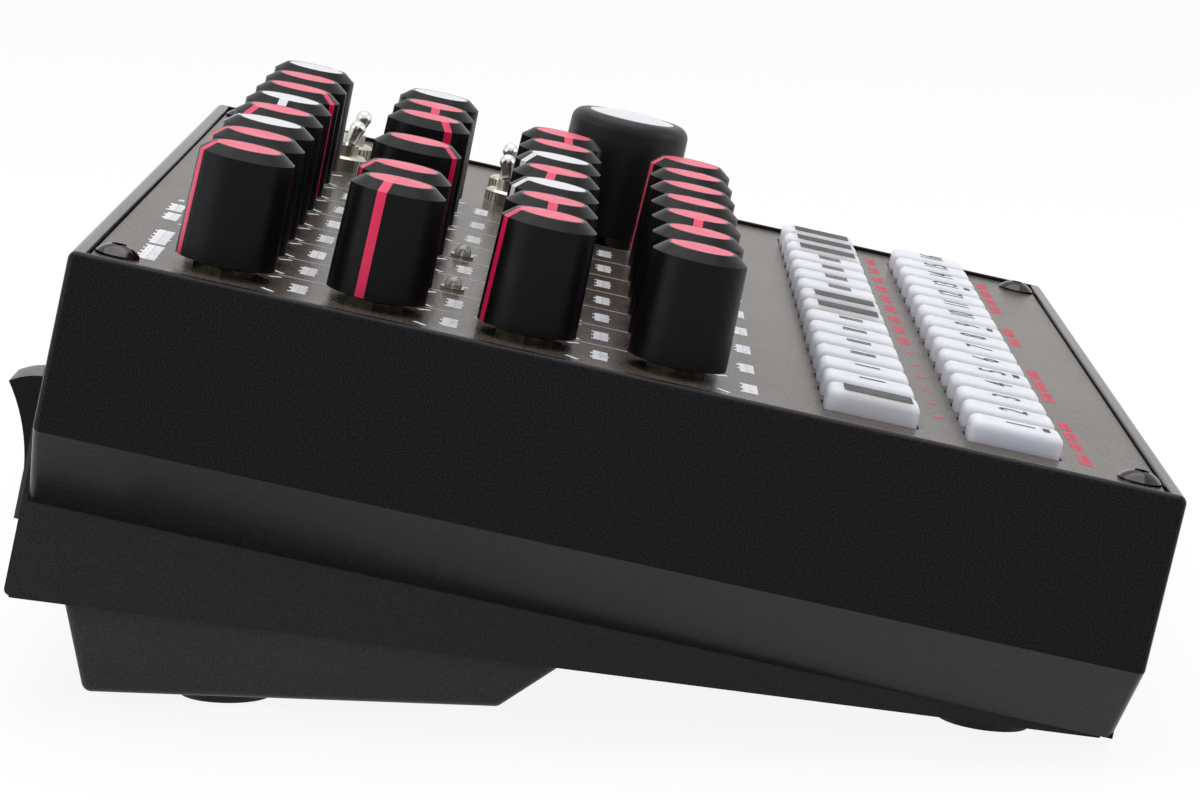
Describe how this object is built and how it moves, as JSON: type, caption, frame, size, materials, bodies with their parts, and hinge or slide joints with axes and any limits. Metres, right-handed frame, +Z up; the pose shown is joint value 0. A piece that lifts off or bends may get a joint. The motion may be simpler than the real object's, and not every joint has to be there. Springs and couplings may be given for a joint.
{
  "type": "desktop drum machine",
  "caption": "Desktop drum machine: wedge-shaped folded-steel case with a sloping deck of pointer knobs, toggles and step keys, rear sockets and a rocker switch.",
  "frame": {"origin": "on the surface it stands on, under the middle of the part's overall box", "axes": "+X to the player's right along the deck's long side, +Y to the rear where the sockets are, +Z up"},
  "size_m": [0.27, 0.1991, 0.0989],
  "materials": {
    "case_coat": "fine textured powder coat",
    "panel_coat": "matte powder coat with printed marks",
    "tray_coat": "fine textured powder coat",
    "knob_plastic": "black moulded plastic with a red or white inlay",
    "key_plastic": "translucent white plastic",
    "rocker_plastic": "glossy black plastic",
    "rubber": "matte",
    "steel": "bright plated",
    "plated_controls": "plated bushings and nuts",
    "board": "solder-masked board with black switches",
    "socket_plastic": "black plastic with plated fronts",
    "screw_steel": "black oxide"
  },
  "bodies": {
    "case": {"top_case": "case_coat", "front_panel": "panel_coat", "bottom_tray": "tray_coat", "tilt_stand": "tray_coat", "rubber_feet": "rubber", "screws": "screw_steel", "panel_controls": "plated_controls", "control_board": "board", "rear_connectors": "socket_plastic"},
    "knob_a1": {"knob_a1": "knob_plastic"},
    "knob_a2": {"knob_a2": "knob_plastic"},
    "knob_a3": {"knob_a3": "knob_plastic"},
    "knob_a4": {"knob_a4": "knob_plastic"},
    "knob_a5": {"knob_a5": "knob_plastic"},
    "knob_a6": {"knob_a6": "knob_plastic"},
    "knob_a7": {"knob_a7": "knob_plastic"},
    "knob_a8": {"knob_a8": "knob_plastic"},
    "knob_b1": {"knob_b1": "knob_plastic"},
    "knob_b2": {"knob_b2": "knob_plastic"},
    "knob_b4": {"knob_b4": "knob_plastic"},
    "knob_b6": {"knob_b6": "knob_plastic"},
    "knob_b7": {"knob_b7": "knob_plastic"},
    "knob_b8": {"knob_b8": "knob_plastic"},
    "knob_c1": {"knob_c1": "knob_plastic"},
    "knob_c2": {"knob_c2": "knob_plastic"},
    "knob_c3": {"knob_c3": "knob_plastic"},
    "knob_c4": {"knob_c4": "knob_plastic"},
    "knob_c5": {"knob_c5": "knob_plastic"},
    "knob_c6": {"knob_c6": "knob_plastic"},
    "knob_c7": {"knob_c7": "knob_plastic"},
    "knob_d1": {"knob_d1": "knob_plastic"},
    "knob_d2": {"knob_d2": "knob_plastic"},
    "knob_d3": {"knob_d3": "knob_plastic"},
    "knob_d4": {"knob_d4": "knob_plastic"},
    "knob_d5": {"knob_d5": "knob_plastic"},
    "knob_d6": {"knob_d6": "knob_plastic"},
    "knob_d7": {"knob_d7": "knob_plastic"},
    "knob_large": {"knob_large": "knob_plastic"},
    "toggle_lever_1": {"toggle_lever_1": "steel"},
    "toggle_lever_2": {"toggle_lever_2": "steel"},
    "toggle_lever_3": {"toggle_lever_3": "steel"},
    "toggle_lever_4": {"toggle_lever_4": "steel"},
    "step_key_01": {"step_key_01": "key_plastic"},
    "step_key_02": {"step_key_02": "key_plastic"},
    "step_key_03": {"step_key_03": "key_plastic"},
    "step_key_04": {"step_key_04": "key_plastic"},
    "step_key_05": {"step_key_05": "key_plastic"},
    "step_key_06": {"step_key_06": "key_plastic"},
    "step_key_07": {"step_key_07": "key_plastic"},
    "step_key_08": {"step_key_08": "key_plastic"},
    "step_key_09": {"step_key_09": "key_plastic"},
    "step_key_10": {"step_key_10": "key_plastic"},
    "step_key_11": {"step_key_11": "key_plastic"},
    "step_key_12": {"step_key_12": "key_plastic"},
    "step_key_13": {"step_key_13": "key_plastic"},
    "step_key_14": {"step_key_14": "key_plastic"},
    "step_key_15": {"step_key_15": "key_plastic"},
    "step_key_16": {"step_key_16": "key_plastic"},
    "function_keys": {"function_keys": "key_plastic"},
    "power_rocker": {"power_rocker": "rocker_plastic"}
  },
  "joints": [
    {"name": "knob_a1_turn", "type": "hinge", "parent": "case", "child": "knob_a1", "pos_m": [-0.1158, 0.06327, 0.07638], "axis": [0, -0.1822, 0.9833], "range_deg": [-175, 125]},
    {"name": "knob_a2_turn", "type": "hinge", "parent": "case", "child": "knob_a2", "pos_m": [-0.09245, 0.06327, 0.07638], "axis": [0, -0.1822, 0.9833], "range_deg": [-163, 137]},
    {"name": "knob_a3_turn", "type": "hinge", "parent": "case", "child": "knob_a3", "pos_m": [-0.0691, 0.06327, 0.07638], "axis": [0, -0.1822, 0.9833], "range_deg": [-150, 150]},
    {"name": "knob_a4_turn", "type": "hinge", "parent": "case", "child": "knob_a4", "pos_m": [-0.04575, 0.06327, 0.07638], "axis": [0, -0.1822, 0.9833], "range_deg": [-195, 105]},
    {"name": "knob_a5_turn", "type": "hinge", "parent": "case", "child": "knob_a5", "pos_m": [-0.0224, 0.06327, 0.07638], "axis": [0, -0.1822, 0.9833], "range_deg": [-232, 68]},
    {"name": "knob_a6_turn", "type": "hinge", "parent": "case", "child": "knob_a6", "pos_m": [0.00095, 0.06327, 0.07638], "axis": [0, -0.1822, 0.9833], "range_deg": [-300, 0]},
    {"name": "knob_a7_turn", "type": "hinge", "parent": "case", "child": "knob_a7", "pos_m": [0.0243, 0.06327, 0.07638], "axis": [0, -0.1822, 0.9833], "range_deg": [-35, 265]},
    {"name": "knob_a8_turn", "type": "hinge", "parent": "case", "child": "knob_a8", "pos_m": [0.04765, 0.06327, 0.07638], "axis": [0, -0.1822, 0.9833], "range_deg": [-20, 280]},
    {"name": "knob_b1_turn", "type": "hinge", "parent": "case", "child": "knob_b1", "pos_m": [-0.1158, 0.0376, 0.07163], "axis": [0, -0.1822, 0.9833], "range_deg": [-223, 77]},
    {"name": "knob_b2_turn", "type": "hinge", "parent": "case", "child": "knob_b2", "pos_m": [-0.09245, 0.0376, 0.07163], "axis": [0, -0.1822, 0.9833], "range_deg": [-170, 130]},
    {"name": "knob_b4_turn", "type": "hinge", "parent": "case", "child": "knob_b4", "pos_m": [-0.04575, 0.0376, 0.07163], "axis": [0, -0.1822, 0.9833], "range_deg": [-300, 0]},
    {"name": "knob_b6_turn", "type": "hinge", "parent": "case", "child": "knob_b6", "pos_m": [0.00095, 0.0376, 0.07163], "axis": [0, -0.1822, 0.9833], "range_deg": [-270, 30]},
    {"name": "knob_b7_turn", "type": "hinge", "parent": "case", "child": "knob_b7", "pos_m": [0.0243, 0.0376, 0.07163], "axis": [0, -0.1822, 0.9833], "range_deg": [-242, 58]},
    {"name": "knob_b8_turn", "type": "hinge", "parent": "case", "child": "knob_b8", "pos_m": [0.04765, 0.0376, 0.07163], "axis": [0, -0.1822, 0.9833], "range_deg": [-152, 148]},
    {"name": "knob_c1_turn", "type": "hinge", "parent": "case", "child": "knob_c1", "pos_m": [-0.1158, 0.01194, 0.06687], "axis": [0, -0.1822, 0.9833], "range_deg": [-175, 125]},
    {"name": "knob_c2_turn", "type": "hinge", "parent": "case", "child": "knob_c2", "pos_m": [-0.09245, 0.01194, 0.06687], "axis": [0, -0.1822, 0.9833], "range_deg": [-240, 60]},
    {"name": "knob_c3_turn", "type": "hinge", "parent": "case", "child": "knob_c3", "pos_m": [-0.0691, 0.01194, 0.06687], "axis": [0, -0.1822, 0.9833], "range_deg": [-175, 125]},
    {"name": "knob_c4_turn", "type": "hinge", "parent": "case", "child": "knob_c4", "pos_m": [-0.04575, 0.01194, 0.06687], "axis": [0, -0.1822, 0.9833], "range_deg": [-230, 70]},
    {"name": "knob_c5_turn", "type": "hinge", "parent": "case", "child": "knob_c5", "pos_m": [-0.0224, 0.01194, 0.06687], "axis": [0, -0.1822, 0.9833], "range_deg": [-185, 115]},
    {"name": "knob_c6_turn", "type": "hinge", "parent": "case", "child": "knob_c6", "pos_m": [0.00095, 0.01194, 0.06687], "axis": [0, -0.1822, 0.9833], "range_deg": [-110, 190]},
    {"name": "knob_c7_turn", "type": "hinge", "parent": "case", "child": "knob_c7", "pos_m": [0.0243, 0.01194, 0.06687], "axis": [0, -0.1822, 0.9833], "range_deg": [-250, 50]},
    {"name": "knob_d1_turn", "type": "hinge", "parent": "case", "child": "knob_d1", "pos_m": [-0.1158, -0.01372, 0.06211], "axis": [0, -0.1822, 0.9833], "range_deg": [-120, 180]},
    {"name": "knob_d2_turn", "type": "hinge", "parent": "case", "child": "knob_d2", "pos_m": [-0.09245, -0.01372, 0.06211], "axis": [0, -0.1822, 0.9833], "range_deg": [-45, 255]},
    {"name": "knob_d3_turn", "type": "hinge", "parent": "case", "child": "knob_d3", "pos_m": [-0.0691, -0.01372, 0.06211], "axis": [0, -0.1822, 0.9833], "range_deg": [-240, 60]},
    {"name": "knob_d4_turn", "type": "hinge", "parent": "case", "child": "knob_d4", "pos_m": [-0.04575, -0.01372, 0.06211], "axis": [0, -0.1822, 0.9833], "range_deg": [-115, 185]},
    {"name": "knob_d5_turn", "type": "hinge", "parent": "case", "child": "knob_d5", "pos_m": [-0.0224, -0.01372, 0.06211], "axis": [0, -0.1822, 0.9833], "range_deg": [-145, 155]},
    {"name": "knob_d6_turn", "type": "hinge", "parent": "case", "child": "knob_d6", "pos_m": [0.00095, -0.01372, 0.06211], "axis": [0, -0.1822, 0.9833], "range_deg": [-40, 260]},
    {"name": "knob_d7_turn", "type": "hinge", "parent": "case", "child": "knob_d7", "pos_m": [0.0243, -0.01372, 0.06211], "axis": [0, -0.1822, 0.9833], "range_deg": [-170, 130]},
    {"name": "knob_large_turn", "type": "hinge", "parent": "case", "child": "knob_large", "pos_m": [0.04765, -0.00089, 0.06449], "axis": [0, -0.1822, 0.9833], "range_deg": [-150, 150]},
    {"name": "toggle_lever_1_throw", "type": "hinge", "parent": "case", "child": "toggle_lever_1", "pos_m": [0.071, 0.05506, 0.07629], "axis": [1, 0, 0], "range_deg": [-28, 0]},
    {"name": "toggle_lever_2_throw", "type": "hinge", "parent": "case", "child": "toggle_lever_2", "pos_m": [0.09435, 0.05506, 0.07629], "axis": [1, 0, 0], "range_deg": [-28, 0]},
    {"name": "toggle_lever_3_throw", "type": "hinge", "parent": "case", "child": "toggle_lever_3", "pos_m": [0.071, 0.01964, 0.06972], "axis": [1, 0, 0], "range_deg": [0, 28]},
    {"name": "toggle_lever_4_throw", "type": "hinge", "parent": "case", "child": "toggle_lever_4", "pos_m": [0.09435, 0.01964, 0.06972], "axis": [1, 0, 0], "range_deg": [0, 28]},
    {"name": "step_key_01_press", "type": "slide", "parent": "case", "child": "step_key_01", "axis": [0, -0.1822, 0.9833], "range_m": [-0.0015, 0], "stiffness_N_per_m": 600, "springref_m": 0.0005},
    {"name": "step_key_02_press", "type": "slide", "parent": "case", "child": "step_key_02", "axis": [0, -0.1822, 0.9833], "range_m": [-0.0015, 0], "stiffness_N_per_m": 600, "springref_m": 0.0005},
    {"name": "step_key_03_press", "type": "slide", "parent": "case", "child": "step_key_03", "axis": [0, -0.1822, 0.9833], "range_m": [-0.0015, 0], "stiffness_N_per_m": 600, "springref_m": 0.0005},
    {"name": "step_key_04_press", "type": "slide", "parent": "case", "child": "step_key_04", "axis": [0, -0.1822, 0.9833], "range_m": [-0.0015, 0], "stiffness_N_per_m": 600, "springref_m": 0.0005},
    {"name": "step_key_05_press", "type": "slide", "parent": "case", "child": "step_key_05", "axis": [0, -0.1822, 0.9833], "range_m": [-0.0015, 0], "stiffness_N_per_m": 600, "springref_m": 0.0005},
    {"name": "step_key_06_press", "type": "slide", "parent": "case", "child": "step_key_06", "axis": [0, -0.1822, 0.9833], "range_m": [-0.0015, 0], "stiffness_N_per_m": 600, "springref_m": 0.0005},
    {"name": "step_key_07_press", "type": "slide", "parent": "case", "child": "step_key_07", "axis": [0, -0.1822, 0.9833], "range_m": [-0.0015, 0], "stiffness_N_per_m": 600, "springref_m": 0.0005},
    {"name": "step_key_08_press", "type": "slide", "parent": "case", "child": "step_key_08", "axis": [0, -0.1822, 0.9833], "range_m": [-0.0015, 0], "stiffness_N_per_m": 600, "springref_m": 0.0005},
    {"name": "step_key_09_press", "type": "slide", "parent": "case", "child": "step_key_09", "axis": [0, -0.1822, 0.9833], "range_m": [-0.0015, 0], "stiffness_N_per_m": 600, "springref_m": 0.0005},
    {"name": "step_key_10_press", "type": "slide", "parent": "case", "child": "step_key_10", "axis": [0, -0.1822, 0.9833], "range_m": [-0.0015, 0], "stiffness_N_per_m": 600, "springref_m": 0.0005},
    {"name": "step_key_11_press", "type": "slide", "parent": "case", "child": "step_key_11", "axis": [0, -0.1822, 0.9833], "range_m": [-0.0015, 0], "stiffness_N_per_m": 600, "springref_m": 0.0005},
    {"name": "step_key_12_press", "type": "slide", "parent": "case", "child": "step_key_12", "axis": [0, -0.1822, 0.9833], "range_m": [-0.0015, 0], "stiffness_N_per_m": 600, "springref_m": 0.0005},
    {"name": "step_key_13_press", "type": "slide", "parent": "case", "child": "step_key_13", "axis": [0, -0.1822, 0.9833], "range_m": [-0.0015, 0], "stiffness_N_per_m": 600, "springref_m": 0.0005},
    {"name": "step_key_14_press", "type": "slide", "parent": "case", "child": "step_key_14", "axis": [0, -0.1822, 0.9833], "range_m": [-0.0015, 0], "stiffness_N_per_m": 600, "springref_m": 0.0005},
    {"name": "step_key_15_press", "type": "slide", "parent": "case", "child": "step_key_15", "axis": [0, -0.1822, 0.9833], "range_m": [-0.0015, 0], "stiffness_N_per_m": 600, "springref_m": 0.0005},
    {"name": "step_key_16_press", "type": "slide", "parent": "case", "child": "step_key_16", "axis": [0, -0.1822, 0.9833], "range_m": [-0.0015, 0], "stiffness_N_per_m": 600, "springref_m": 0.0005},
    {"name": "function_keys_press", "type": "slide", "parent": "case", "child": "function_keys", "axis": [0, -0.1822, 0.9833], "range_m": [-0.0015, 0], "stiffness_N_per_m": 6000, "springref_m": 0.0005},
    {"name": "power_rocker_rock", "type": "hinge", "parent": "case", "child": "power_rocker", "pos_m": [-0.107, 0.0948, 0.04562], "axis": [1, 0, 0], "range_deg": [0, 30.2]}
  ]
}
